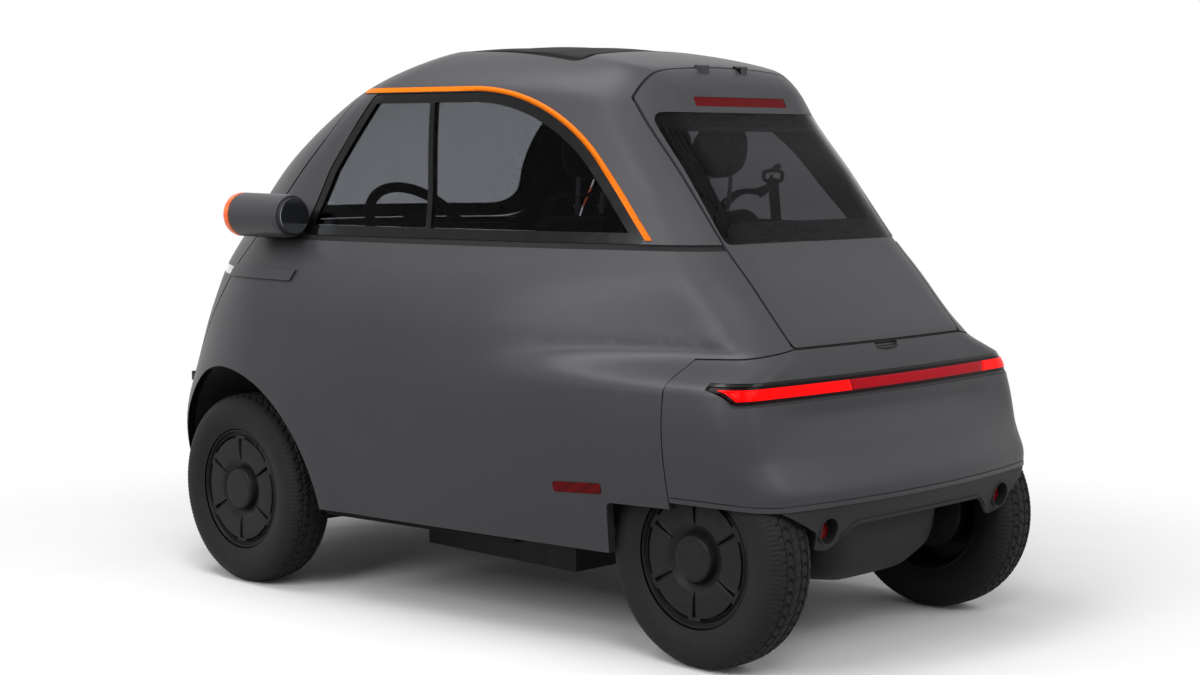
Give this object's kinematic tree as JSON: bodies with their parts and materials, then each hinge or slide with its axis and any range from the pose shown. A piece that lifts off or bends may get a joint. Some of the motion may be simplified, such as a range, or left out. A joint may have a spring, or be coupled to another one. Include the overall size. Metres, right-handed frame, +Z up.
{
  "type": "electric microcar",
  "caption": "Bubble-shaped two-seat electric microcar with a front-opening door, folding cloth roof, tailgate, steered front wheels and closely set rear wheels.",
  "frame": {"origin": "middle of the length and width, on the ground", "axes": "+Y towards the tail, +Z up, +X to the car's left side"},
  "size_m": [1.5198, 2.5193, 1.4975],
  "materials": {
    "paint": "satin dark graphite lacquer",
    "roof_fabric": "black roof cloth",
    "floor_metal": "black underseal",
    "black_plastic": "grained black",
    "black_gloss": "gloss black",
    "black_rubber": "matt black",
    "orange_paint": "orange lacquer",
    "red_lens": "clear red",
    "amber_lens": "clear orange",
    "clear_lens": "clear",
    "grey_plastic": "satin dark graphite, as the body",
    "mirror": "silvered",
    "glass": "tinted",
    "seat_fabric": "woven dark grey",
    "chassis_steel": "black coated",
    "cast_aluminium": "as cast",
    "wheel_black": "satin black",
    "tyre": "black rubber"
  },
  "bodies": {
    "body": {"battery": "chassis_steel", "belt_strips": "black_rubber", "body_side_left": "paint", "body_side_right": "paint", "drive_unit": "cast_aluminium", "fender_trims": "black_gloss", "floor_pan": "floor_metal", "folding_roof": "roof_fabric", "front_suspension": "chassis_steel", "front_valance": "black_plastic", "lamp_pods": "grey_plastic", "mirror_faces": "mirror", "pod_lenses": "amber_lens", "rear_bumper": "paint", "rear_skirt": "black_plastic", "rear_suspension": "chassis_steel", "reflectors": "red_lens", "roof_shell": "paint", "seat_backrest": "seat_fabric", "seat_base": "black_plastic", "seat_cushion": "seat_fabric", "side_glass": "glass", "steering_column": "black_plastic", "tail_lamp": "red_lens", "tail_lamp_bezel": "black_gloss", "wheel_liners": "black_plastic", "window_frames": "black_gloss", "window_strips": "orange_paint"},
    "front_door": {"door_shell": "paint", "door_bar": "black_plastic", "windscreen": "glass", "front_lamp_bar": "clear_lens"},
    "tailgate": {"tailgate_shell": "paint", "rear_glass": "glass", "high_brake_lamp": "red_lens"},
    "knuckle_left": {"knuckle_left": "chassis_steel"},
    "knuckle_right": {"knuckle_right": "chassis_steel"},
    "steering_wheel": {"steering_wheel": "black_plastic"},
    "wheel_front_left": {"wheel_front_left": "wheel_black", "tyre_front_left": "tyre"},
    "wheel_front_right": {"wheel_front_right": "wheel_black", "tyre_front_right": "tyre"},
    "wheel_rear_left": {"wheel_rear_left": "wheel_black", "tyre_rear_left": "tyre"},
    "wheel_rear_right": {"wheel_rear_right": "wheel_black", "tyre_rear_right": "tyre"}
  },
  "joints": [
    {"name": "steer_left", "type": "hinge", "parent": "body", "child": "knuckle_left", "pos_m": [0.5, -0.6095, 0.266], "axis": [0, 0, 1], "range_deg": [-32, 32]},
    {"name": "steer_right", "type": "hinge", "parent": "body", "child": "knuckle_right", "pos_m": [-0.5, -0.6095, 0.266], "axis": [0, 0, 1], "range_deg": [-32, 32]},
    {"name": "steering_wheel", "type": "hinge", "parent": "body", "child": "steering_wheel", "pos_m": [0.3, -0.258, 0.985], "axis": [0, 0.766, 0.6428], "range_deg": [-450, 450]},
    {"name": "front_door", "type": "hinge", "parent": "body", "child": "front_door", "pos_m": [0.51, -1.055, 0.45], "axis": [0, 0, 1], "range_deg": [0, 75]},
    {"name": "tailgate", "type": "hinge", "parent": "body", "child": "tailgate", "pos_m": [0, 0.585, 1.42961], "axis": [1, 0, 0], "range_deg": [0, 75]},
    {"name": "wheel_front_left", "type": "hinge", "parent": "knuckle_left", "child": "wheel_front_left", "pos_m": [0.6175, -0.6095, 0.266], "axis": [1, 0, 0], "continuous": true},
    {"name": "wheel_front_right", "type": "hinge", "parent": "knuckle_right", "child": "wheel_front_right", "pos_m": [-0.6175, -0.6095, 0.266], "axis": [1, 0, 0], "continuous": true},
    {"name": "wheel_rear_left", "type": "hinge", "parent": "body", "child": "wheel_rear_left", "pos_m": [0.4625, 0.9565, 0.266], "axis": [1, 0, 0], "continuous": true},
    {"name": "wheel_rear_right", "type": "hinge", "parent": "body", "child": "wheel_rear_right", "pos_m": [-0.4625, 0.9565, 0.266], "axis": [1, 0, 0], "continuous": true}
  ],
  "couplings": [
    {"joint": "steer_right", "follows": "steer_left", "ratio": 1},
    {"joint": "steering_wheel", "follows": "steer_left", "ratio": 14}
  ]
}
